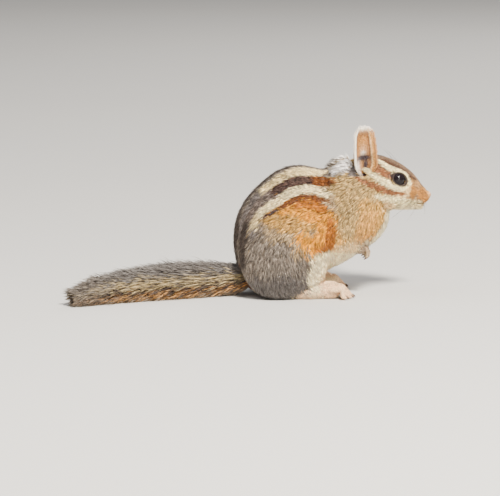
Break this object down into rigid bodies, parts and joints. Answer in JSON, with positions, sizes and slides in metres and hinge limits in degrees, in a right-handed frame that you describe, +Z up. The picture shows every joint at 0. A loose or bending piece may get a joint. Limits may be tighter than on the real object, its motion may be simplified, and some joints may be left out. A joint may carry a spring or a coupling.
{
  "type": "chipmunk",
  "caption": "Still, life-size chipmunk sitting on its haunches with forepaws held at the chest, striped back and a bushy tail laid on the floor behind it.",
  "frame": {"origin": "on the floor, under the middle of the whole animal's bounding box", "axes": "+Z up, +X the way the nose points, +Y to the animal's left; the tail lies back along -X"},
  "size_m": [0.155, 0.05, 0.0717],
  "materials": {
    "coat": "short dense fur, tawny flanks, grizzled grey haunches, dark and pale stripes, cream belly",
    "nose_skin": "bare pinkish tan skin, slightly moist",
    "eye": "wet, glossy, very dark brown",
    "claw": "horn, dark at the root and paler at the tip"
  },
  "bodies": {
    "root": {"head": "coat", "nose": "nose_skin", "neck": "coat", "torso": "coat", "ear_left": "coat", "ear_right": "coat", "eye_left": "eye", "eye_right": "eye", "arm_left": "coat", "arm_right": "coat", "forepaw_left": "coat", "forepaw_right": "coat", "thigh_left": "coat", "thigh_right": "coat", "foot_left": "coat", "foot_right": "coat", "tail_1": "coat", "tail_2": "coat", "tail_3": "coat", "tail_4": "coat"}
  },
  "joints": []
}
